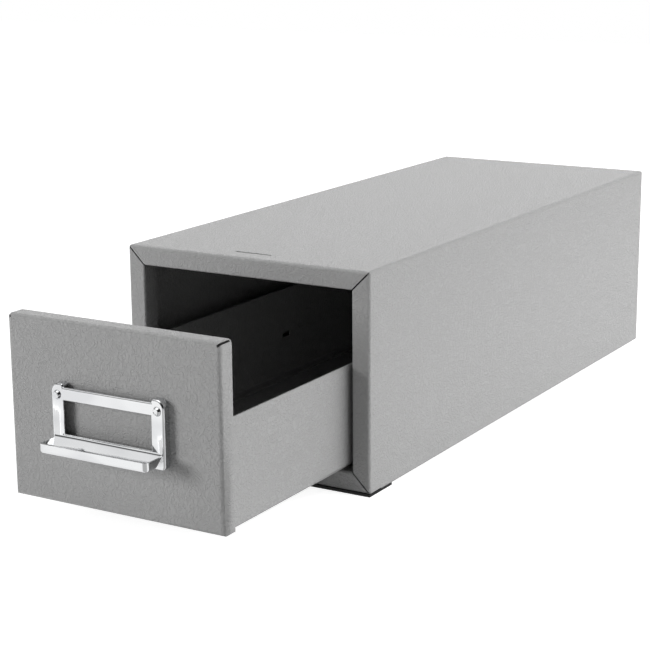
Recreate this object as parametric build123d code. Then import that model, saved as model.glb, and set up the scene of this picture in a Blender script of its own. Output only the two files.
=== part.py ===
from build123d import *
import os
from math import cos, radians, sqrt, tan

# Microscope slide cabinet: a folded sheet-steel case that holds one open-topped drawer with a stamped pull.
# Millimetres. X runs across the case from its middle, Y runs back from the front of the face frame, and Z
# runs up from the surface that the cabinet stands on. The drawer is drawn pulled out, as it is used.

# Sheet steel
SHEET = 1.0  # thickness of every folded panel
CASE_BEND = 1.8  # outside radius of the case's folds
LIP_BEND = 1.3  # outside radius of the fold from the face frame into its lip
DRAWER_BEND = 2.3  # outside radius of the drawer's folds

# Case
CASE_WIDTH = 165.0
CASE_HEIGHT = 128.8  # from the lower edges of the sides to the top
CASE_DEPTH = 414.5
FRAME_WIDTH = 11.5  # face frame's members, seen from the front
LIP_DEPTH = 12.0  # how far the frame's lips reach back
MITRE_GAP = 0.8  # open slit at each corner of the face frame
MITRE_END = 0.9  # an upper slit's end from the case's corner, along the mitre
MITRE_BEVEL = 0.4  # on the stile's edge beside an upper slit
BOTTOM_FLANGE = 12.0  # height of the bottom panel's upturned flanges
BACK_INSET = 1.0  # back panel's distance in from the case's rear edge
BACK_FLANGE = 12.0  # depth of the flanges round both back panels
CORNER_NOTCH = 4.0  # relief cut where two flanges of a back panel would meet
SLOT_LENGTH = 25.0  # slot in the top that locates a second cabinet
SLOT_WIDTH = 2.0
SLOT_SETBACK = 13.6
SLOT_OFFSET = 2.2  # to the left of the middle

# Feet
FOOT_HEIGHT = 1.6
FOOT_DEPTH = 26.0
REAR_FOOT_INSET = 6.0

# Drawer
SIDE_GAP = 2.45  # between the drawer and the opening, each side
LOWER_GAP = 1.4  # between the drawer's front and the opening, at the bottom
UPPER_GAP = 2.4  # the same at the top
FRONT_FLANGE = 10.4  # depth of the flanges round the drawer's front
SIDE_HEIGHT = 59.3  # drawer's sides behind the front
SIDE_FLANGE = 8.5  # width of the sides' bottom flanges
CORNER_SLOT = 1.3  # slot along the fold of each upper corner of the front, from its face
CORNER_SLOT_END = 0.9  # its rear end from the flange's edge
NOTCH_RADIUS = 1.2  # inner corner where a side steps down behind the front
FLOOR_INSET = 2.0  # floor's edge in from the drawer's outside
OPEN_AT_REST = 126.0  # how far out the drawer is drawn

# Stop tabs lanced from the drawer's sides
TAB_LENGTH = 10.0
TAB_REACH = 3.6
TAB_SETBACK = 272.8  # front end of a tab from the drawer's face
TAB_HEIGHT = 26.0  # above the lower edge of the side

# Runners, glides and buffers
RUNNER_INSET = 16.55  # runner's middle from the drawer's outside
RUNNER_TOP = 16.0
RUNNER_FOOT = 7.0
RUNNER_BEND = 1.5  # middle radius of the runner's folds
RUNNER_END_GAP = 0.6  # from the lip in front and the back panel's flange behind
GLIDE_RADIUS = 6.0
GLIDE_THICK = 1.5
GLIDE_CLEAR = 0.1  # between a glide and what slides on it
STEM_RADIUS = 2.4
STEM_CLEAR = 0.1
STEM_END = 0.9  # how far a stem comes through its sheet
GLIDE_SETBACK = 8.0  # glide's middle from the end of its runner
REAR_GLIDE_SETBACK = 18.0  # glide's middle from the drawer's back
BUFFER_RADIUS = 5.0
BUFFER_HEIGHT = 6.0
BUFFER_INSET = 28.55  # buffer's middle from the drawer's outside
BUFFER_LEVEL = 45.0  # above the lower edges of the case
BUFFER_GAP = 0.3  # left when the drawer is shut

# Stamped pull with its card frame
PLATE = 0.8  # thickness of the stamping
PULL_WIDTH = 73.0
PULL_STANDOFF = 5.0  # its front above the drawer's face
PULL_DROP = 0.8  # its middle below the middle of the drawer's front
PULL_BEND = 1.2
STRAP_WIDTH = 8.0
SILL_HEIGHT = 10.1  # below the card window
WINDOW_HEIGHT = 18.7
TOP_BAR = 6.8
TOP_RETURN = 1.8  # how far the top bar's edge turns back
EAR_RISE = 2.0
EAR_RADIUS = 5.0  # an ear's outer corner
EAR_INNER_RADIUS = 1.3
BASE_RADIUS = 2.5
TRAY_WIDTH = 70.0
TRAY_REACH = 19.0  # front of the finger tray from the drawer's face
TRAY_HEIGHT = 5.2
TRAY_DROP = 2.2  # the tray's rim below the card window
TRAY_CORNER = 2.8
TRAY_EDGE = 1.4
TRAY_HEM = 1.7  # thickness of its front wall, folded over on itself
TRAY_SLOPE = 40.0  # degrees that its back wall slopes from level
TRAY_SLOPE_DROP = 0.9  # upper end of the slope below the card window
WINDOW_EDGE = 0.4  # rounding of the card window's edge
RIVET_RADIUS = 1.2
RIVET_CLEAR = 0.1
RIVET_HEAD = 2.6  # head's radius at its edge
RIVET_FLAT = 1.5  # and at its top
RIVET_RISE = 1.4
RIVET_TAIL = 1.9
RIVET_TAIL_LENGTH = 1.0
RIVET_INSET = 4.2  # from the pull's side
RIVET_DROP = 6.2  # from the top of an ear
WASHER_RADIUS = 3.2
WASHER_THICK = 0.8

# Sizes that follow
CASE_BASE = FOOT_HEIGHT
HALF_WIDTH = CASE_WIDTH / 2
CASE_TOP = CASE_BASE + CASE_HEIGHT
OPENING_WIDTH = CASE_WIDTH - 2 * FRAME_WIDTH
OPENING_BASE = CASE_BASE + FRAME_WIDTH
OPENING_HEIGHT = CASE_HEIGHT - 2 * FRAME_WIDTH
BACK_FACE = CASE_DEPTH - BACK_INSET
BACK_INNER = BACK_FACE - SHEET
FLANGE_START = BACK_FACE - BACK_FLANGE
RAIL_END = LIP_DEPTH + SHEET

DRAWER_WIDTH = OPENING_WIDTH - 2 * SIDE_GAP
HALF_DRAWER = DRAWER_WIDTH / 2
FRONT_BASE = OPENING_BASE + LOWER_GAP
FRONT_HEIGHT = OPENING_HEIGHT - LOWER_GAP - UPPER_GAP
FRONT_TOP = FRONT_BASE + FRONT_HEIGHT
FLOOR_BASE = FRONT_BASE + SHEET
SIDE_BASE = FLOOR_BASE + SHEET
SIDE_TOP = SIDE_BASE + SIDE_HEIGHT
DRAWER_LENGTH = BACK_INNER - BUFFER_HEIGHT - BUFFER_GAP
DRAWER_FACE = -OPEN_AT_REST

RUNNER_START = LIP_DEPTH + RUNNER_END_GAP
RUNNER_END = FLANGE_START - RUNNER_END_GAP
RUNNER_LEVEL = FLOOR_BASE - GLIDE_THICK - GLIDE_CLEAR
RUNNER_X = HALF_DRAWER - RUNNER_INSET
BUFFER_X = HALF_DRAWER - BUFFER_INSET

PULL_HEIGHT = SILL_HEIGHT + WINDOW_HEIGHT + TOP_BAR + EAR_RISE
PULL_BASE = FRONT_BASE + FRONT_HEIGHT / 2 - PULL_DROP - PULL_HEIGHT / 2
PULL_TOP = PULL_BASE + PULL_HEIGHT
WINDOW_BASE = PULL_BASE + SILL_HEIGHT
PULL_FACE = DRAWER_FACE - PULL_STANDOFF
RIVET_X = PULL_WIDTH / 2 - RIVET_INSET
RIVET_Z = PULL_TOP - RIVET_DROP

OVER = 2.0  # how far a cutter runs past the sheet it cuts
NEAR = 0.01  # how close to a plane an edge lies to be counted as in it
FRONT_LOW = (Align.CENTER, Align.MIN, Align.MIN)
LEFT = Plane.YZ


def block(width, depth, height, y, z, x=0.0):
    """A block centred on x that starts at y and z."""
    return Pos(x, y, z) * Box(width, depth, height, align=FRONT_LOW)


def at(edges, axis, place):
    """Those of the edges that lie in the plane across an axis at a place."""
    return edges.filter_by_position(axis, place - NEAR, place + NEAR)


def mirrored(solid):
    """The same piece on the other side of the cabinet."""
    return mirror(solid, about=LEFT)


def folded(points, radius, start, length):
    """A sheet folded along X and Z through the points of its middle line, and drawn back along Y."""
    section = trace(FilletPolyline(*points, radius=radius), SHEET)
    return extrude(Plane.XZ.offset(-start) * section, amount=length, dir=(0, 1, 0))


# Case


def case_skin():
    """The case's outside with its front closed: a rounded box with walls of one sheet."""
    outer = block(CASE_WIDTH, CASE_DEPTH, CASE_HEIGHT, 0, CASE_BASE)
    outer = fillet(folds(outer, 0, CASE_TOP), CASE_BEND)
    height = CASE_HEIGHT - 2 * SHEET
    inner = block(CASE_WIDTH - 2 * SHEET, CASE_DEPTH, height, SHEET, CASE_BASE + SHEET)
    inner = fillet(folds(inner, SHEET, CASE_TOP - SHEET), CASE_BEND - SHEET)
    return outer - inner


def folds(box, front, top):
    """The edges of a box that are folds: round its front and along the top of both sides."""
    edges = box.edges()
    return at(edges, Axis.Y, front) + at(edges.filter_by(Axis.Y), Axis.Z, top)


def face_frame_skin():
    """The case's skin with the opening cut and the lips turned back all round it."""
    lips = block(OPENING_WIDTH + 2 * SHEET, LIP_DEPTH, OPENING_HEIGHT + 2 * SHEET, 0, OPENING_BASE - SHEET)
    opening = block(OPENING_WIDTH, LIP_DEPTH + 2 * OVER, OPENING_HEIGHT, -OVER, OPENING_BASE)
    skin = case_skin() + lips - opening
    rim = at(skin.edges(), Axis.Y, 0)
    half = OPENING_WIDTH / 2 + NEAR
    rim = rim.filter_by_position(Axis.X, -half, half)
    rim = rim.filter_by_position(Axis.Z, OPENING_BASE - NEAR, OPENING_BASE + OPENING_HEIGHT + NEAR)
    return fillet(rim, LIP_BEND)


def rail_wedge(slack):
    """The space of the frame's bottom rail between its two mitres, made larger by slack all round."""
    grow = slack * sqrt(2)
    low = CASE_BASE - OVER
    high = OPENING_BASE
    wide = HALF_WIDTH + OVER + grow
    narrow = OPENING_WIDTH / 2 + grow
    outline = Polyline((-wide, low), (wide, low), (narrow, high), (-narrow, high), close=True)
    return extrude(Plane.XZ * make_face(outline), amount=RAIL_END, dir=(0, 1, 0))


def mitre_slit(side):
    """A cutter along one of the frame's upper mitres: deep between the lips, bevelled on the stile."""
    low = (Align.MIN, Align.MIN, Align.CENTER)
    middle = (Align.MIN, Align.CENTER, Align.CENTER)
    reach = FRAME_WIDTH * sqrt(2) - MITRE_END
    lips = Pos(-SHEET, -OVER, 0) * Box(3 * SHEET, LIP_DEPTH + 2 * OVER, MITRE_GAP, align=low)
    face = Pos(0, -OVER, 0) * Box(reach, SHEET + OVER, MITRE_GAP, align=low)
    bevel = Rot(45, 0, 0) * Box(reach, MITRE_BEVEL, MITRE_BEVEL, align=middle)
    bevel = Pos(0, 0, -side * MITRE_GAP / 2) * bevel
    turn = 45 if side > 0 else 135
    corner = Pos(side * OPENING_WIDTH / 2, 0, OPENING_BASE + OPENING_HEIGHT)
    return corner * Rot(0, -turn, 0) * (lips + face + bevel)


def case_wrapper(skin):
    """Top and both sides in one sheet, with the frame's top rail and stiles and their lips."""
    bottom = block(CASE_WIDTH - 2 * SHEET, CASE_DEPTH + OVER, SHEET + OVER, 0, CASE_BASE - OVER)
    slot = extrude(SlotOverall(SLOT_LENGTH, SLOT_WIDTH), amount=SHEET + OVER)
    wrapper = skin - bottom - rail_wedge(MITRE_GAP / 2)
    wrapper -= mitre_slit(1)
    wrapper -= mitre_slit(-1)
    return wrapper - Pos(-SLOT_OFFSET, SLOT_SETBACK, CASE_TOP - SHEET - OVER / 2) * slot


def case_bottom(skin):
    """Bottom panel with a flange up each side, and the frame's bottom rail and lip at its front."""
    rail = skin & rail_wedge(-MITRE_GAP / 2)
    middle = HALF_WIDTH - SHEET * 1.5
    level = CASE_BASE + SHEET / 2
    flange_top = CASE_BASE + BOTTOM_FLANGE
    section = [(-middle, flange_top), (-middle, level), (middle, level), (middle, flange_top)]
    pan = folded(section, CASE_BEND - SHEET / 2, RAIL_END, FLANGE_START - OVER - RAIL_END)
    tail_start = FLANGE_START - OVER
    tail = block(CASE_WIDTH - 2 * SHEET, BACK_FACE - tail_start, SHEET, tail_start, CASE_BASE)
    return rail + pan + tail


def flanged_back(width, height, face, base, radius):
    """A back panel whose flanges turn forward on all sides, notched where they would meet."""
    start = face - BACK_FLANGE
    outer = block(width, BACK_FLANGE, height, start, base)
    outer = fillet(at(outer.edges(), Axis.Y, face), radius)
    inner = block(width - 2 * SHEET, BACK_FLANGE, height - 2 * SHEET, start - SHEET, base + SHEET)
    inner = fillet(at(inner.edges(), Axis.Y, face - SHEET), radius - SHEET)
    panel = outer - inner
    notch = Box(2 * CORNER_NOTCH, BACK_FLANGE, 2 * CORNER_NOTCH)
    for x in (-width / 2, width / 2):
        for z in (base, base + height):
            panel -= Pos(x, face - BACK_FLANGE / 2 - SHEET, z) * notch
    return panel


def case_back():
    """Rear panel of the case, with the two holes that hold its buffers."""
    width = CASE_WIDTH - 2 * SHEET
    panel = flanged_back(width, CASE_HEIGHT - 2 * SHEET, BACK_FACE, CASE_BASE + SHEET, CASE_BEND)
    hole = Rot(90, 0, 0) * Cylinder(STEM_RADIUS + STEM_CLEAR, BACK_FLANGE)
    for x in (-BUFFER_X, BUFFER_X):
        panel -= Pos(x, BACK_INNER, CASE_BASE + BUFFER_LEVEL) * hole
    return panel


def runner():
    """Right-hand runner: a hat-shaped channel that stands on the bottom panel and carries the drawer."""
    floor = CASE_BASE + SHEET * 1.5
    level = RUNNER_LEVEL - SHEET / 2
    near = RUNNER_TOP / 2 - SHEET / 2
    far = near + RUNNER_FOOT
    section = [(-far, floor), (-near, floor), (-near, level), (near, level), (near, floor), (far, floor)]
    channel = folded(section, RUNNER_BEND, RUNNER_START, RUNNER_END - RUNNER_START)
    hole = Cylinder(STEM_RADIUS + STEM_CLEAR, 2 * OVER)
    channel -= Pos(0, RUNNER_START + GLIDE_SETBACK, RUNNER_LEVEL) * hole
    return Pos(RUNNER_X, 0, 0) * channel


def push_in(radius, height):
    """A round push-in piece on the Z axis: its head on Z = 0, its stem through the sheet below."""
    head = Cylinder(radius, height, align=(Align.CENTER, Align.CENTER, Align.MIN))
    stem = Cylinder(STEM_RADIUS, SHEET + STEM_END, align=(Align.CENTER, Align.CENTER, Align.MAX))
    return head + stem


def front_glide():
    """Right-hand glide at the front of its runner, under the drawer's floor."""
    place = Pos(RUNNER_X, RUNNER_START + GLIDE_SETBACK, RUNNER_LEVEL)
    return place * push_in(GLIDE_RADIUS, GLIDE_THICK)


def rear_glide():
    """Right-hand glide under the rear of the drawer's floor, on the runner."""
    y = DRAWER_FACE + DRAWER_LENGTH - REAR_GLIDE_SETBACK
    place = Pos(RUNNER_X, y, FLOOR_BASE)
    return place * Rot(180, 0, 0) * push_in(GLIDE_RADIUS, GLIDE_THICK)


def buffer():
    """Right-hand rubber buffer on the case's back panel, which stops the drawer flush with the frame."""
    place = Pos(BUFFER_X, BACK_INNER, CASE_BASE + BUFFER_LEVEL)
    return place * Rot(90, 0, 0) * push_in(BUFFER_RADIUS, BUFFER_HEIGHT)


def front_foot_strip():
    """Strip across the full width under the front of the case."""
    return block(CASE_WIDTH, FOOT_DEPTH, FOOT_HEIGHT, 0, 0)


def rear_foot_strip():
    """Strip under the rear of the case, in from its sides."""
    return block(CASE_WIDTH - 2 * REAR_FOOT_INSET, FOOT_DEPTH, FOOT_HEIGHT, BACK_FACE - FOOT_DEPTH, 0)


# Drawer


def front_pan():
    """The drawer's front as a shallow pan: its face and the flanges that turn back all round."""
    outer = block(DRAWER_WIDTH, FRONT_FLANGE, FRONT_HEIGHT, DRAWER_FACE, FRONT_BASE)
    outer = fillet(folds(outer, DRAWER_FACE, FRONT_TOP), DRAWER_BEND)
    start = DRAWER_FACE + SHEET
    inner = block(DRAWER_WIDTH - 2 * SHEET, FRONT_FLANGE, FRONT_HEIGHT - 2 * SHEET, start, FLOOR_BASE)
    inner = fillet(folds(inner, start, FRONT_TOP - SHEET), DRAWER_BEND - SHEET)
    return outer - inner - corner_slot(1) - corner_slot(-1)


def corner_slot(side):
    """A cutter for the slot along the fold of one of the front's upper corners."""
    length = OVER + FRONT_FLANGE - CORNER_SLOT_END
    cutter = Box(2 * DRAWER_BEND, length, CORNER_SLOT, align=(Align.MIN, Align.MIN, Align.CENTER))
    turn = 45 if side > 0 else 135
    x = side * (HALF_DRAWER - DRAWER_BEND)
    return Pos(x, DRAWER_FACE - OVER, FRONT_TOP - DRAWER_BEND) * Rot(0, -turn, 0) * cutter


def drawer_side():
    """Right-hand side of the drawer with its bottom flange turned in."""
    middle = HALF_DRAWER - SHEET / 2
    level = SIDE_BASE + SHEET / 2
    start = DRAWER_FACE + FRONT_FLANGE
    length = DRAWER_LENGTH - FRONT_FLANGE
    section = [(middle, SIDE_TOP), (middle, level), (HALF_DRAWER - SIDE_FLANGE, level)]
    side = folded(section, CASE_BEND - SHEET / 2, start, length)
    rear = start + length - BACK_FLANGE - OVER
    x = HALF_DRAWER - SHEET - SIDE_FLANGE / 2
    return side - block(SIDE_FLANGE, BACK_FLANGE + OVER, CASE_BEND, rear, SIDE_BASE, x)


def stop_window():
    """The hole that a stop tab leaves in the right-hand side."""
    y = DRAWER_FACE + TAB_SETBACK
    return block(2 * OVER, TAB_LENGTH, TAB_REACH, y, SIDE_BASE + TAB_HEIGHT, HALF_DRAWER)


def stop_tab():
    """The tab, folded out flat from the window's lower edge, whose end meets the stile's lip."""
    y = DRAWER_FACE + TAB_SETBACK
    z = SIDE_BASE + TAB_HEIGHT - SHEET
    return block(TAB_REACH, TAB_LENGTH, SHEET, y, z, HALF_DRAWER + TAB_REACH / 2)


def drawer_shell():
    """The drawer's front and both sides in one sheet, with its flanges, stop tabs and rivet holes."""
    side = drawer_side() - stop_window() + stop_tab()
    shell = front_pan() + side + mirrored(side)
    roots = at(shell.edges().filter_by(Axis.X), Axis.Z, SIDE_TOP)
    shell = fillet(at(roots, Axis.Y, DRAWER_FACE + FRONT_FLANGE), NOTCH_RADIUS)
    hole = Rot(90, 0, 0) * Cylinder(RIVET_RADIUS + RIVET_CLEAR, 2 * OVER)
    for x in (-RIVET_X, RIVET_X):
        shell -= Pos(x, DRAWER_FACE, RIVET_Z) * hole
    return shell


def drawer_floor():
    """Floor of the drawer, under the sides' flanges, with the holes for its glides."""
    start = DRAWER_FACE + DRAWER_BEND
    length = DRAWER_LENGTH - DRAWER_BEND
    floor = block(DRAWER_WIDTH - 2 * FLOOR_INSET, length, SHEET, start, FLOOR_BASE)
    hole = Cylinder(STEM_RADIUS + STEM_CLEAR, 2 * OVER)
    y = DRAWER_FACE + DRAWER_LENGTH - REAR_GLIDE_SETBACK
    for x in (-RUNNER_X, RUNNER_X):
        floor -= Pos(x, y, FLOOR_BASE) * hole
    return floor


def drawer_back():
    """Rear panel of the drawer, standing on its floor between the sides."""
    face = DRAWER_FACE + DRAWER_LENGTH
    return flanged_back(DRAWER_WIDTH - 2 * SHEET, SIDE_HEIGHT, face, SIDE_BASE, CASE_BEND)


# Pull


def pull_outline():
    """The card frame's outline from the front, with an ear at each top corner."""
    half = PULL_WIDTH / 2
    ear = half - STRAP_WIDTH
    bar = PULL_TOP - EAR_RISE
    right = [(ear, bar), (ear, PULL_TOP), (half, PULL_TOP), (half, PULL_BASE)]
    left = [(-x, z) for x, z in reversed(right)]
    radii = [0, EAR_INNER_RADIUS, EAR_RADIUS, BASE_RADIUS]
    outline = FilletPolyline(*right, *left, radius=radii + radii[::-1], close=True)
    return make_face(outline)


def card_frame():
    """The drawn card frame: a shallow shell on the drawer's face with a window in its front."""
    face = Plane.XZ.offset(-DRAWER_FACE)
    outer = extrude(face * pull_outline(), amount=PULL_STANDOFF)
    outer = fillet(at(outer.edges(), Axis.Y, PULL_FACE), PULL_BEND)
    inner = extrude(face * offset(pull_outline(), -PLATE), amount=PULL_STANDOFF - PLATE)
    width = PULL_WIDTH - 2 * STRAP_WIDTH
    shell = outer - inner - block(width, 2 * OVER, WINDOW_HEIGHT, PULL_FACE - OVER, WINDOW_BASE)
    rim = at(shell.edges(), Axis.Y, PULL_FACE)
    rim = rim.filter_by_position(Axis.X, -width / 2 - NEAR, width / 2 + NEAR)
    rim = rim.filter_by_position(Axis.Z, WINDOW_BASE - NEAR, WINDOW_BASE + WINDOW_HEIGHT + NEAR)
    shell = fillet(rim, WINDOW_EDGE)
    depth = PULL_STANDOFF - TOP_RETURN
    card_slot = block(width, depth, TOP_BAR + OVER, DRAWER_FACE - depth, WINDOW_BASE + WINDOW_HEIGHT)
    return shell - card_slot


def finger_tray():
    """The tray in front of the card frame's sill that the fingers pull on, open at its top."""
    rim = WINDOW_BASE - TRAY_DROP
    base = rim - TRAY_HEIGHT
    front = DRAWER_FACE - TRAY_REACH
    slope = WINDOW_BASE - TRAY_SLOPE_DROP
    outer = block(TRAY_WIDTH, TRAY_REACH - PULL_STANDOFF, TRAY_HEIGHT, front, base)
    corners = at(outer.edges().filter_by(Axis.Z), Axis.Y, front)
    outer = fillet(corners, TRAY_CORNER)
    low = at(outer.edges(), Axis.Z, base)
    outer = fillet(low - at(low, Axis.Y, PULL_FACE), TRAY_EDGE)
    outer += below_slope(TRAY_WIDTH, slope, rim)
    under = below_slope(PULL_WIDTH, slope - PLATE / cos(radians(TRAY_SLOPE)), base - OVER)
    return outer - under - tray_hollow(front + TRAY_HEM, base + PLATE, slope)


def tray_hollow(front, floor, slope):
    """The space inside the tray, between its front wall, its ends and its sloping back wall."""
    hollow = block(TRAY_WIDTH - 2 * PLATE, PULL_FACE - front, TRAY_HEIGHT, front, floor)
    corners = at(hollow.edges().filter_by(Axis.Z), Axis.Y, front)
    return fillet(corners, TRAY_CORNER - PLATE) - below_slope(TRAY_WIDTH, slope, floor)


def below_slope(width, high, low):
    """All that lies below a slope that falls forward from a height on the card frame's front."""
    run = (high - low) / tan(radians(TRAY_SLOPE))
    outline = Polyline((PULL_FACE, high), (PULL_FACE - run, low), (PULL_FACE, low), close=True)
    return extrude(LEFT * make_face(outline), amount=width / 2, both=True)


def card_frame_pull():
    """Card frame and finger tray in one stamping, with the two rivet holes."""
    pull = card_frame() + finger_tray()
    hole = Rot(90, 0, 0) * Cylinder(RIVET_RADIUS + RIVET_CLEAR, 2 * OVER)
    for x in (-RIVET_X, RIVET_X):
        pull -= Pos(x, PULL_FACE, RIVET_Z) * hole
    return pull


def pull_rivet():
    """Right-hand rivet: bevelled head on the card frame, its tail closed over the washer."""
    shank = PULL_STANDOFF + SHEET + WASHER_THICK
    line = [
        (0, RIVET_RISE),
        (RIVET_FLAT, RIVET_RISE),
        (RIVET_HEAD, 0),
        (RIVET_RADIUS, 0),
        (RIVET_RADIUS, -shank),
        (RIVET_TAIL, -shank),
        (RIVET_TAIL, -shank - RIVET_TAIL_LENGTH),
        (0, -shank - RIVET_TAIL_LENGTH),
    ]
    rivet = revolve(Plane.XZ * make_face(Polyline(*line, close=True)), Axis.Z)
    return Pos(RIVET_X, PULL_FACE, RIVET_Z) * Rot(90, 0, 0) * rivet


def rivet_washer():
    """Right-hand washer behind the drawer's front."""
    ring = Cylinder(WASHER_RADIUS, WASHER_THICK) - Cylinder(RIVET_RADIUS + RIVET_CLEAR, 2 * OVER)
    return Pos(RIVET_X, DRAWER_FACE + SHEET + WASHER_THICK / 2, RIVET_Z) * Rot(90, 0, 0) * ring


def pieces():
    """Every separate piece by its node's name."""
    skin = face_frame_skin()
    found = {
        "case_wrapper": case_wrapper(skin),
        "case_bottom": case_bottom(skin),
        "case_back": case_back(),
        "front_foot_strip": front_foot_strip(),
        "rear_foot_strip": rear_foot_strip(),
        "drawer_shell": drawer_shell(),
        "drawer_floor": drawer_floor(),
        "drawer_back": drawer_back(),
        "card_frame_pull": card_frame_pull(),
    }
    pairs = {
        "runner": runner(),
        "front_glide": front_glide(),
        "rear_glide": rear_glide(),
        "buffer": buffer(),
        "pull_rivet": pull_rivet(),
        "rivet_washer": rivet_washer(),
    }
    for name, piece in pairs.items():
        found["right_" + name] = piece
        found["left_" + name] = mirrored(piece)
    return found


os.makedirs("parts", exist_ok=True)
for node, solid in pieces().items():
    export_step(solid, f"parts/{node}.step")
    print(node, len(solid.solids()), round(solid.volume, 1))
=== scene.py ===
"""Looks of a sheet-steel microscope slide cabinet with its drawer pulled out.

The case and the drawer are folded sheet under a leatherette-textured grey powder coat. The pull is
one stamping under bright chromium plate. Everything is in metres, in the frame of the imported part.
"""

import logging
from dataclasses import dataclass, field
from enum import Enum
from math import radians

import bpy
from mathutils import Matrix, Vector


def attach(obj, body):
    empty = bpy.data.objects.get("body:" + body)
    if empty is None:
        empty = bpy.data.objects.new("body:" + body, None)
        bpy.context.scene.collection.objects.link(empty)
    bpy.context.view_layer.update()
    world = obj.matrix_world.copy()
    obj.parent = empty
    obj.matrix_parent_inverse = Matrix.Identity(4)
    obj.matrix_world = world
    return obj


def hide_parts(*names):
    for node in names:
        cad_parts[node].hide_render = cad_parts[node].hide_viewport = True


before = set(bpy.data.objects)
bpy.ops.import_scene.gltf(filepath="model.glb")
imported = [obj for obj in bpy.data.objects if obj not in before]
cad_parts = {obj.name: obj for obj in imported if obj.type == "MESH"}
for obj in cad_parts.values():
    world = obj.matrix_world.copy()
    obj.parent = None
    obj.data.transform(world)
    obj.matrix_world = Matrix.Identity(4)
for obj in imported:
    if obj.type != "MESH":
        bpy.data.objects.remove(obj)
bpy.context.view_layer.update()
LOG = logging.getLogger("slide_cabinet")
MM = 0.001
WHITE = "#ffffff"

# Settings that several nodes share
EASED = {"interpolation_type": "SMOOTHSTEP"}
MULTIPLY = {"operation": "MULTIPLY"}
BRIGHTER = {"operation": "MAXIMUM"}
NUMBERS = {"data_type": "FLOAT"}

Triple = tuple[float, float, float]
Stops = tuple[tuple[float, str], ...]


class Body(Enum):
    """The bodies that pieces ride on."""

    CASE = "case"
    DRAWER = "drawer"


class Slot(Enum):
    """The record's material slots."""

    POWDER_COAT = "grey_powder_coat"
    CHROME = "chromed_steel"
    RUBBER = "black_rubber"
    ZINC = "zinc_plated_steel"
    NYLON = "natural_nylon"


# Materials


def linear(colour: str) -> tuple[float, float, float, float]:
    """Turn an sRGB hex colour into linear light, by the standard's curve.

    Args:
        colour: Six hex digits after a hash sign.

    Returns:
        Red, green, blue and an alpha of one.
    """
    parts = [int(colour[i : i + 2], 16) / 255 for i in (1, 3, 5)]
    bright = [p / 12.92 if p <= 0.04045 else ((p + 0.055) / 1.055) ** 2.4 for p in parts]
    return (*bright, 1.0)


def add_node(
    tree: bpy.types.NodeTree,
    kind: str,
    settings: dict[str, object] | None = None,
    inputs: dict[str | int, object] | None = None,
) -> bpy.types.Node:
    """Add a node with its settings, and fill or link its inputs.

    Args:
        tree: The material's or world's node tree.
        kind: The node's type, as Blender names it.
        settings: Properties of the node by name.
        inputs: Values by input name or number, where an output socket is linked.

    Returns:
        The new node.
    """
    node = tree.nodes.new(kind)
    for name, value in (settings or {}).items():
        setattr(node, name, value)
    for name, value in (inputs or {}).items():
        if isinstance(value, bpy.types.NodeSocket):
            tree.links.new(value, node.inputs[name])
        else:
            node.inputs[name].default_value = value
    return node


def set_stops(node: bpy.types.Node, stops: Stops) -> None:
    """Give a colour ramp its stops.

    Args:
        node: The ramp's node.
        stops: Places from 0 to 1 with their sRGB hex colours.
    """
    elements = node.color_ramp.elements
    while len(elements) < len(stops):
        elements.new(0.5)  # the next lines move it
    for element, (place, colour) in zip(elements, stops):
        element.position = place
        element.color = linear(colour)


def new_material(name: str) -> tuple[bpy.types.Material, bpy.types.NodeTree]:
    """Make an empty node material.

    Args:
        name: The finish's name.

    Returns:
        The material and its node tree.
    """
    material = bpy.data.materials.new(name)
    material.use_nodes = True
    material.node_tree.nodes.clear()
    return material, material.node_tree


def finish_surface(tree: bpy.types.NodeTree, shader: bpy.types.Node) -> None:
    """Link a shader to the material's surface output.

    Args:
        tree: The material's node tree.
        shader: The shader's node.
    """
    add_node(tree, "ShaderNodeOutputMaterial", inputs={"Surface": shader.outputs[0]})


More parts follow.
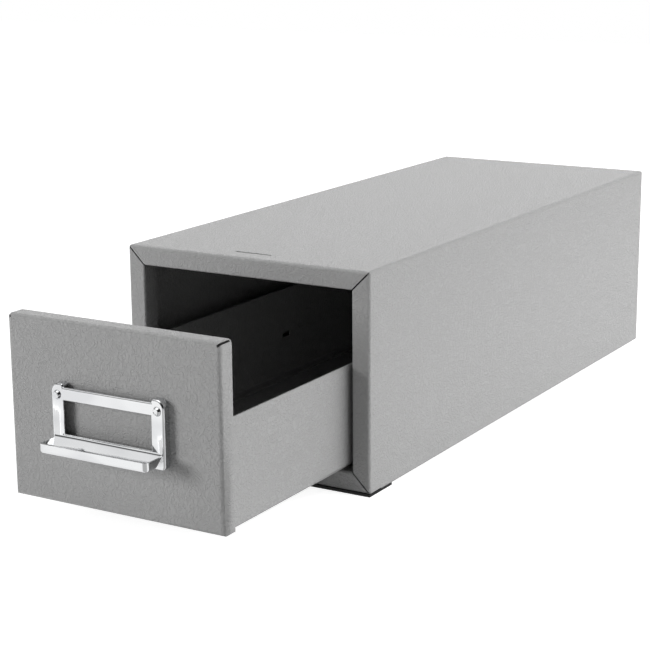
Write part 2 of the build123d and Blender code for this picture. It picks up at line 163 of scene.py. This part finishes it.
@dataclass(frozen=True)
class PowderCoat:
    """Baked polyester powder coat, semi-gloss, with a leatherette grain of low worms and pebbles.

    The real grain is about 1 mm across. It is drawn nearly twice as coarse, so that it still shows
    when the whole cabinet is in view. The hollows between the worms are painted a shade darker than
    the crowns: painted shade in the grain's hollows.
    """

    # hollows painted darker than the crowns: painted shade in the grain's hollows
    tint: Stops = ((0.1, "#a7a7a7"), (0.9, "#aaaaaa"))
    worm_mm: float = 2.0
    worm_twist: float = 1.2
    worm_foot: float = 0.4
    worm_crown: float = 0.6
    pebble_mm: float = 1.0
    pebble_share: float = 0.6
    depth_mm: float = 0.155
    roughness: float = 0.24
    ior: float = 1.5

    def make(self) -> bpy.types.Material:
        """Build the material."""
        material, tree = new_material("powder_coated_sheet_steel")
        place = add_node(tree, "ShaderNodeTexCoord").outputs["Object"]
        worms = add_node(
            tree,
            "ShaderNodeTexNoise",
            inputs={
                "Vector": place,
                "Scale": 1 / (self.worm_mm * MM),
                "Detail": 1.0,
                "Roughness": 0.5,
                "Distortion": self.worm_twist,
            },
        )
        pebbles = add_node(
            tree,
            "ShaderNodeTexNoise",
            inputs={"Vector": place, "Scale": 1 / (self.pebble_mm * MM), "Detail": 0.0},
        )
        rounded = add_node(
            tree,
            "ShaderNodeMapRange",
            EASED,
            {
                "Value": worms.outputs["Fac"],
                "From Min": self.worm_foot,
                "From Max": self.worm_crown,
            },
        )
        height = add_node(
            tree,
            "ShaderNodeMath",
            {"operation": "MULTIPLY_ADD"},
            {0: pebbles.outputs["Fac"], 1: self.pebble_share, 2: rounded.outputs["Result"]},
        )
        bump = add_node(
            tree,
            "ShaderNodeBump",
            inputs={
                "Strength": 1.0,
                "Distance": self.depth_mm * MM,
                "Height": height.outputs[0],
            },
        )
        # colour follows the worms' height, so the hollows get painted shade
        tint = add_node(tree, "ShaderNodeValToRGB", inputs={"Fac": rounded.outputs["Result"]})
        set_stops(tint, self.tint)
        shader = add_node(
            tree,
            "ShaderNodeBsdfPrincipled",
            inputs={
                "Base Color": tint.outputs[0],
                "Roughness": self.roughness,
                "IOR": self.ior,
                "Normal": bump.outputs[0],
            },
        )
        finish_surface(tree, shader)
        return material


@dataclass(frozen=True)
class ChromePlate:
    """Bright nickel-chromium plate on a polished stamping: a mirror that buffing left wavy.

    The haze is drawn out along the pull, as the buffing wheel ran.
    """

    tint: Stops = ((0.34, "#d2d3d5"), (0.56, "#e0e1e2"))
    haze_mm: float = 12.0
    haze_scale: Triple = (0.35, 1.0, 1.0)
    wave_mm: float = 16.0
    wave_depth_mm: float = 0.3
    clear_roughness: float = 0.048
    hazed_roughness: float = 0.12

    def make(self) -> bpy.types.Material:
        """Build the material."""
        material, tree = new_material("chromium_plated_stamping")
        place = add_node(tree, "ShaderNodeTexCoord").outputs["Object"]
        along = add_node(
            tree, "ShaderNodeMapping", inputs={"Vector": place, "Scale": self.haze_scale}
        )
        haze = add_node(
            tree,
            "ShaderNodeTexNoise",
            inputs={
                "Vector": along.outputs[0],
                "Scale": 1 / (self.haze_mm * MM),
                "Detail": 1.0,
            },
        )
        spread = add_node(
            tree,
            "ShaderNodeMapRange",
            inputs={
                "Value": haze.outputs["Fac"],
                "To Min": self.clear_roughness,
                "To Max": self.hazed_roughness,
            },
        )
        tint = add_node(tree, "ShaderNodeValToRGB", inputs={"Fac": haze.outputs["Fac"]})
        set_stops(tint, self.tint)
        wave = add_node(
            tree,
            "ShaderNodeTexNoise",
            inputs={"Vector": place, "Scale": 1 / (self.wave_mm * MM), "Detail": 0.0},
        )
        bump = add_node(
            tree,
            "ShaderNodeBump",
            inputs={
                "Strength": 1.0,
                "Distance": self.wave_depth_mm * MM,
                "Height": wave.outputs["Fac"],
            },
        )
        shader = add_node(
            tree,
            "ShaderNodeBsdfPrincipled",
            inputs={
                "Base Color": tint.outputs[0],
                "Metallic": 1.0,
                "Roughness": spread.outputs[0],
                "Normal": bump.outputs[0],
            },
        )
        finish_surface(tree, shader)
        return material


@dataclass(frozen=True)
class MouldedRubber:
    """Black vulcanised rubber strip: matt, with the faint nap of its mould."""

    tint: Stops = ((0.3, "#171718"), (0.7, "#1c1c1d"))
    nap_mm: float = 0.4
    nap_depth_mm: float = 0.02
    roughness: float = 0.8

    def make(self) -> bpy.types.Material:
        """Build the material."""
        material, tree = new_material("moulded_black_rubber")
        place = add_node(tree, "ShaderNodeTexCoord").outputs["Object"]
        nap = add_node(
            tree,
            "ShaderNodeTexNoise",
            inputs={"Vector": place, "Scale": 1 / (self.nap_mm * MM), "Detail": 2.0},
        )
        bump = add_node(
            tree,
            "ShaderNodeBump",
            inputs={
                "Strength": 0.5,
                "Distance": self.nap_depth_mm * MM,
                "Height": nap.outputs["Fac"],
            },
        )
        tint = add_node(tree, "ShaderNodeValToRGB", inputs={"Fac": nap.outputs["Fac"]})
        set_stops(tint, self.tint)
        shader = add_node(
            tree,
            "ShaderNodeBsdfPrincipled",
            inputs={
                "Base Color": tint.outputs[0],
                "Roughness": self.roughness,
                "Normal": bump.outputs[0],
            },
        )
        finish_surface(tree, shader)
        return material


@dataclass(frozen=True)
class ZincPlate:
    """Barrel-plated zinc on rolled steel strip: dull silver with a cloudy spangle."""

    tint: Stops = ((0.3, "#9fa1a0"), (0.7, "#b9bab8"))
    spangle_mm: float = 5.0
    roughness: float = 0.38

    def make(self) -> bpy.types.Material:
        """Build the material."""
        material, tree = new_material("zinc_plated_strip")
        place = add_node(tree, "ShaderNodeTexCoord").outputs["Object"]
        cloud = add_node(
            tree,
            "ShaderNodeTexNoise",
            inputs={"Vector": place, "Scale": 1 / (self.spangle_mm * MM), "Detail": 3.0},
        )
        tint = add_node(tree, "ShaderNodeValToRGB", inputs={"Fac": cloud.outputs["Fac"]})
        set_stops(tint, self.tint)
        shader = add_node(
            tree,
            "ShaderNodeBsdfPrincipled",
            inputs={
                "Base Color": tint.outputs[0],
                "Metallic": 1.0,
                "Roughness": self.roughness,
            },
        )
        finish_surface(tree, shader)
        return material


@dataclass(frozen=True)
class MouldedNylon:
    """Unfilled injection-moulded nylon: warm white and waxy, faintly clouded where it flowed."""

    tint: Stops = ((0.3, "#d3cec0"), (0.7, "#dcd8cc"))
    flow_mm: float = 3.0
    roughness: float = 0.42
    ior: float = 1.53

    def make(self) -> bpy.types.Material:
        """Build the material."""
        material, tree = new_material("moulded_natural_nylon")
        place = add_node(tree, "ShaderNodeTexCoord").outputs["Object"]
        flow = add_node(
            tree,
            "ShaderNodeTexNoise",
            inputs={"Vector": place, "Scale": 1 / (self.flow_mm * MM), "Detail": 2.0},
        )
        tint = add_node(tree, "ShaderNodeValToRGB", inputs={"Fac": flow.outputs["Fac"]})
        set_stops(tint, self.tint)
        shader = add_node(
            tree,
            "ShaderNodeBsdfPrincipled",
            inputs={
                "Base Color": tint.outputs[0],
                "Roughness": self.roughness,
                "IOR": self.ior,
            },
        )
        finish_surface(tree, shader)
        return material


@dataclass
class Finishes:
    """Every finish of the cabinet, made once and shared."""

    crease_degrees: float = 38.0
    weld_mm: float = 0.001
    made: dict[Slot, bpy.types.Material] = field(default_factory=dict)

    def build(self) -> None:
        """Make the five finishes."""
        self.made = {
            Slot.POWDER_COAT: PowderCoat().make(),
            Slot.CHROME: ChromePlate().make(),
            Slot.RUBBER: MouldedRubber().make(),
            Slot.ZINC: ZincPlate().make(),
            Slot.NYLON: MouldedNylon().make(),
        }

    def dress(self, name: str, slot: Slot) -> None:
        """Give a node of the frame one finish all over.

        Args:
            name: The node's name.
            slot: The finish's slot.
        """
        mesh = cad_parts[name].data
        mesh.materials.clear()
        mesh.materials.append(self.made[slot])
        LOG.info("dressed %s in %s", name, slot.value)

    def smooth(self, name: str, slot: Slot, body: Body) -> None:
        """Stand a welded copy in for a node, with bends and domes shaded round and flats flat.

        Args:
            name: The node's name.
            slot: The finish's slot.
            body: The body that it moves with.
        """
        bpy.ops.object.select_all(action="DESELECT")
        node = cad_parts[name]
        node.select_set(True)
        bpy.context.view_layer.objects.active = node
        bpy.ops.object.duplicate()
        piece = bpy.context.object
        piece.name = piece.data.name = f"{name}_finished"
        for key in list(piece.keys()):
            del piece[key]
        bpy.ops.object.mode_set(mode="EDIT")
        bpy.ops.mesh.select_all(action="SELECT")
        bpy.ops.mesh.remove_doubles(threshold=self.weld_mm * MM)
        bpy.ops.object.mode_set(mode="OBJECT")
        bpy.ops.object.shade_smooth_by_angle(angle=radians(self.crease_degrees))
        flats = piece.modifiers.new("flats", "WEIGHTED_NORMAL")
        flats.keep_sharp = True
        bpy.ops.object.modifier_apply(modifier=flats.name)
        piece.data.materials.clear()
        piece.data.materials.append(self.made[slot])
        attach(piece, body.value)
        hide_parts(name)
        LOG.info("smoothed %s in %s", name, slot.value)


# Sub-assemblies


@dataclass(frozen=True)
class CabinetCase:
    """The folded case with its feet, runners, front glides and buffers."""

    wrapper: str = "case_wrapper"
    pans: tuple[str, ...] = ("case_bottom", "case_back")
    feet: tuple[str, ...] = ("front_foot_strip", "rear_foot_strip")
    buffers: tuple[str, ...] = ("left_buffer", "right_buffer")
    runners: tuple[str, ...] = ("left_runner", "right_runner")
    glides: tuple[str, ...] = ("left_front_glide", "right_front_glide")

    def build(self, finishes: Finishes) -> None:
        """Dress the case's pieces.

        Args:
            finishes: The cabinet's finishes.
        """
        finishes.smooth(self.wrapper, Slot.POWDER_COAT, Body.CASE)
        for name in self.pans:
            finishes.dress(name, Slot.POWDER_COAT)
        for name in self.feet + self.buffers:
            finishes.dress(name, Slot.RUBBER)
        for name in self.runners:
            finishes.dress(name, Slot.ZINC)
        for name in self.glides:
            finishes.dress(name, Slot.NYLON)


@dataclass(frozen=True)
class SlideDrawer:
    """The drawer's shell, floor and back, with its rear glides and rivet washers."""

    shell: str = "drawer_shell"
    sheets: tuple[str, ...] = ("drawer_floor", "drawer_back")
    glides: tuple[str, ...] = ("left_rear_glide", "right_rear_glide")
    washers: tuple[str, ...] = ("left_rivet_washer", "right_rivet_washer")

    def build(self, finishes: Finishes) -> None:
        """Dress the drawer's pieces.

        Args:
            finishes: The cabinet's finishes.
        """
        finishes.smooth(self.shell, Slot.POWDER_COAT, Body.DRAWER)
        for name in self.sheets:
            finishes.dress(name, Slot.POWDER_COAT)
        for name in self.glides:
            finishes.dress(name, Slot.NYLON)
        for name in self.washers:
            finishes.dress(name, Slot.ZINC)


@dataclass(frozen=True)
class CardFramePull:
    """The chromed pull with its card frame and rivets."""

    stamping: str = "card_frame_pull"
    rivets: tuple[str, ...] = ("left_pull_rivet", "right_pull_rivet")

    def build(self, finishes: Finishes) -> None:
        """Dress the pull's pieces.

        Args:
            finishes: The cabinet's finishes.
        """
        for name in (self.stamping, *self.rivets):
            finishes.smooth(name, Slot.CHROME, Body.DRAWER)


# Studio


@dataclass(frozen=True)
class Fade:
    """A change of light from one level to another, between two marks along a value."""

    start: float
    end: float
    before: float
    after: float

    def along(self, value: bpy.types.NodeSocket) -> dict[str | int, object]:
        """Give the inputs of the Map Range node that makes the change.

        Args:
            value: The socket that drives it.

        Returns:
            The inputs by name.
        """
        return {
            "Value": value,
            "From Min": self.start,
            "From Max": self.end,
            "To Min": self.before,
            "To Max": self.after,
        }


@dataclass(frozen=True)
class Softbox:
    """A square lamp that faces the cabinet."""

    name: str
    place: Triple
    side: float
    watts: float


@dataclass(frozen=True)
class Studio:
    """A pale floor, a soft light from above and the right, and the camera.

    The lamps light the cabinet and don't show in its bright metal. What that mirrors is drawn by
    the floor and the world: white paper that ends on the right, and a room with grey walls, a
    bright ceiling and an unlit side in front of the drawer.
    """

    # Camera, solved from the photograph
    eye: Triple = (0.54252, -0.81671, 0.32976)
    azimuth: float = 30.897
    elevation: float = 13.730
    roll: float = -0.423
    lens_mm: float = 96.68
    sensor_mm: float = 36.0
    nearest: float = 0.01

    # Light
    softboxes: tuple[Softbox, ...] = (
        Softbox("right_softbox", place=(1.5, 0.65, 1.0), side=1.6, watts=34.0),
        Softbox("left_softbox", place=(-1.35, -1.5, 0.55), side=0.7, watts=25.5),
        Softbox("top_softbox", place=(0.0, 0.2, 2.0), side=1.4, watts=7.0),
        Softbox("rear_softbox", place=(-0.9, 2.2, 0.8), side=1.2, watts=12.0),
    )
    lamps_aim: Triple = (0.0, 0.1, 0.06)
    ambient: float = 0.12

    # Paper, which is seen nearly white and goes full white away from the cabinet
    paper_size: float = 6.0
    paper_gap_mm: float = 0.1
    paper_colour: str = "#c4c4c4"
    paper_glow: Fade = Fade(start=0.7, end=1.6, before=0.86, after=1.0)

    # What bright metal mirrors, in multiples of white: the edge and the right wall change along X,
    # the front, the walls and the ceiling by how far a direction leans towards them
    paper_mirrored: float = 0.7
    paper_edge: Fade = Fade(start=0.22, end=0.4, before=1.0, after=0.15)
    front_middle: Triple = (0.03, -0.13, 0.0)
    front_way: Triple = (0.51, -0.86, 0.0)
    front_unlit: Fade = Fade(start=0.6, end=0.82, before=1.0, after=0.1)
    walls: Stops = (
        (0.0, WHITE),
        (0.32, WHITE),
        (0.42, "#5c5c5c"),
        (0.58, "#5c5c5c"),
        (0.7, WHITE),
    )
    ceiling: Fade = Fade(start=0.84, end=0.9, before=1.0, after=2.6)
    right_wall: Fade = Fade(start=0.0, end=0.4, before=1.0, after=0.15)

    def build(self) -> None:
        """Add the floor, the world, the lamps and the camera."""
        self.floor()
        self.world()
        for softbox in self.softboxes:
            self.lamp(softbox)
        self.camera()

    def floor(self) -> None:
        """Add the white paper, which glows to the eye and still takes the cabinet's shadow."""
        bpy.ops.mesh.primitive_plane_add(
            size=self.paper_size, location=(0, 0, -self.paper_gap_mm * MM)
        )
        ground = bpy.context.object
        ground.name = "studio_floor"
        material, tree = new_material("white_paper_sweep")
        path = add_node(tree, "ShaderNodeLightPath")
        place = add_node(tree, "ShaderNodeTexCoord").outputs["Object"]
        paper = add_node(
            tree, "ShaderNodeBsdfDiffuse", inputs={"Color": linear(self.paper_colour)}
        )
        away = add_node(tree, "ShaderNodeVectorMath", {"operation": "LENGTH"}, {0: place})
        seen = add_node(
            tree, "ShaderNodeMapRange", inputs=self.paper_glow.along(away.outputs["Value"])
        )
        strength = add_node(
            tree,
            "ShaderNodeMix",
            NUMBERS,
            {
                "Factor": path.outputs["Is Glossy Ray"],
                "A": seen.outputs["Result"],
                "B": self.mirrored_paper(tree, place),
            },
        )
        glow = add_node(
            tree,
            "ShaderNodeEmission",
            inputs={"Color": linear(WHITE), "Strength": strength.outputs[0]},
        )
        lit = add_node(
            tree, "ShaderNodeAddShader", inputs={0: paper.outputs[0], 1: glow.outputs[0]}
        )
        mix = add_node(
            tree,
            "ShaderNodeMixShader",
            inputs={0: self.direct_view(tree, path), 1: paper.outputs[0], 2: lit.outputs[0]},
        )
        finish_surface(tree, mix)
        ground.data.materials.append(material)

    def mirrored_paper(
        self, tree: bpy.types.NodeTree, place: bpy.types.NodeSocket
    ) -> bpy.types.NodeSocket:
        """Set how bright the paper is in bright metal: dark past its edge and on the unlit side.

        Args:
            tree: The paper's node tree.
            place: The place on the paper.

        Returns:
            The level's socket.
        """
        offset = add_node(
            tree,
            "ShaderNodeVectorMath",
            {"operation": "SUBTRACT"},
            {0: place, 1: self.front_middle},
        )
        way = add_node(
            tree, "ShaderNodeVectorMath", {"operation": "NORMALIZE"}, {0: offset.outputs[0]}
        )
        across = add_node(tree, "ShaderNodeSeparateXYZ", inputs={"Vector": place})
        edge = add_node(
            tree, "ShaderNodeMapRange", EASED, self.paper_edge.along(across.outputs["X"])
        )
        paper = add_node(
            tree, "ShaderNodeMath", MULTIPLY, {0: edge.outputs["Result"], 1: self.paper_mirrored}
        )
        unlit = self.unlit_side(tree, way.outputs[0])
        level = add_node(tree, "ShaderNodeMath", MULTIPLY, {0: unlit, 1: paper.outputs[0]})
        return level.outputs[0]

    def world(self) -> None:
        """Set a dim even surround, seen by the camera as white and by bright metal as a room."""
        world = bpy.data.worlds.new("studio_surround")
        bpy.context.scene.world = world
        world.use_nodes = True
        world.cycles.sampling_method = "NONE"
        tree = world.node_tree
        tree.nodes.clear()
        path = add_node(tree, "ShaderNodeLightPath")
        seen = add_node(
            tree,
            "ShaderNodeMix",
            NUMBERS,
            {
                "Factor": path.outputs["Is Glossy Ray"],
                "A": 1.0,
                "B": self.mirrored_room(tree),
            },
        )
        level = add_node(
            tree,
            "ShaderNodeMix",
            NUMBERS,
            {
                "Factor": self.direct_view(tree, path),
                "A": self.ambient,
                "B": seen.outputs[0],
            },
        )
        light = add_node(
            tree,
            "ShaderNodeBackground",
            inputs={"Color": linear(WHITE), "Strength": level.outputs[0]},
        )
        add_node(tree, "ShaderNodeOutputWorld", inputs={"Surface": light.outputs[0]})

    def mirrored_room(self, tree: bpy.types.NodeTree) -> bpy.types.NodeSocket:
        """Set how bright each part of the room is in bright metal.

        Args:
            tree: The world's node tree.

        Returns:
            The level's socket.
        """
        way = add_node(tree, "ShaderNodeTexCoord").outputs["Generated"]
        parts = add_node(tree, "ShaderNodeSeparateXYZ", inputs={"Vector": way})
        walls = add_node(tree, "ShaderNodeValToRGB", inputs={"Fac": parts.outputs["Z"]})
        set_stops(walls, self.walls)
        ceiling = add_node(
            tree, "ShaderNodeMapRange", inputs=self.ceiling.along(parts.outputs["Z"])
        )
        right_wall = add_node(
            tree, "ShaderNodeMapRange", EASED, self.right_wall.along(parts.outputs["X"])
        )
        level = walls.outputs[0]
        for share in (ceiling.outputs[0], right_wall.outputs[0], self.unlit_side(tree, way)):
            level = add_node(tree, "ShaderNodeMath", MULTIPLY, {0: level, 1: share}).outputs[0]
        return level

    def direct_view(
        self, tree: bpy.types.NodeTree, path: bpy.types.Node
    ) -> bpy.types.NodeSocket:
        """Tell rays that show the surround, by eye, mirror or glass, from those that carry light.

        Args:
            tree: The material's or world's node tree.
            path: Its Light Path node.

        Returns:
            A socket whose value is one for a ray that shows it.
        """
        shown = path.outputs["Is Camera Ray"]
        for ray in ("Is Glossy Ray", "Is Transmission Ray"):
            either = add_node(tree, "ShaderNodeMath", BRIGHTER, {0: shown, 1: path.outputs[ray]})
            shown = either.outputs[0]
        return shown

    def unlit_side(
        self, tree: bpy.types.NodeTree, way: bpy.types.NodeSocket
    ) -> bpy.types.NodeSocket:
        """Darken the side of the room in front of the drawer, which no lamp lights.

        Args:
            tree: The material's or world's node tree.
            way: The direction from the cabinet.

        Returns:
            A socket that is low towards that side and one elsewhere.
        """
        to_front = add_node(
            tree,
            "ShaderNodeVectorMath",
            {"operation": "DOT_PRODUCT"},
            {0: way, 1: self.front_way},
        )
        level = add_node(
            tree, "ShaderNodeMapRange", EASED, self.front_unlit.along(to_front.outputs["Value"])
        )
        return level.outputs["Result"]

    def lamp(self, softbox: Softbox) -> None:
        """Add a lamp that lights the cabinet and doesn't show in its bright metal.

        Args:
            softbox: Its name, place, size and power.
        """
        light = bpy.data.lights.new(softbox.name, "AREA")
        light.shape = "SQUARE"
        light.size = softbox.side
        light.energy = softbox.watts
        lamp = bpy.data.objects.new(softbox.name, light)
        bpy.context.scene.collection.objects.link(lamp)
        lamp.location = softbox.place
        lamp.visible_glossy = False
        aim = Vector(self.lamps_aim) - Vector(softbox.place)
        lamp.rotation_euler = aim.to_track_quat("-Z", "Y").to_euler()

    def camera(self) -> None:
        """Add the camera at the photograph's place and angle."""
        lens = bpy.data.cameras.new("photo_camera")
        lens.sensor_width = self.sensor_mm
        lens.lens = self.lens_mm
        lens.clip_start = self.nearest
        lens.dof.use_dof = False
        camera = bpy.data.objects.new("photo_camera", lens)
        bpy.context.scene.collection.objects.link(camera)
        turn = Matrix.Rotation(radians(self.azimuth), 4, "Z")
        tilt = Matrix.Rotation(radians(90 - self.elevation), 4, "X")
        roll = Matrix.Rotation(radians(self.roll), 4, "Z")
        camera.matrix_world = Matrix.Translation(self.eye) @ turn @ tilt @ roll
        bpy.context.scene.camera = camera


def main() -> None:
    """Build the cabinet's looks and the studio."""
    logging.basicConfig(level=logging.INFO, format="%(name)s: %(message)s")
    bpy.context.scene.view_settings.view_transform = "Standard"
    finishes = Finishes()
    finishes.build()
    CabinetCase().build(finishes)
    SlideDrawer().build(finishes)
    CardFramePull().build(finishes)
    Studio().build()


if __name__ == "__main__":
    main()
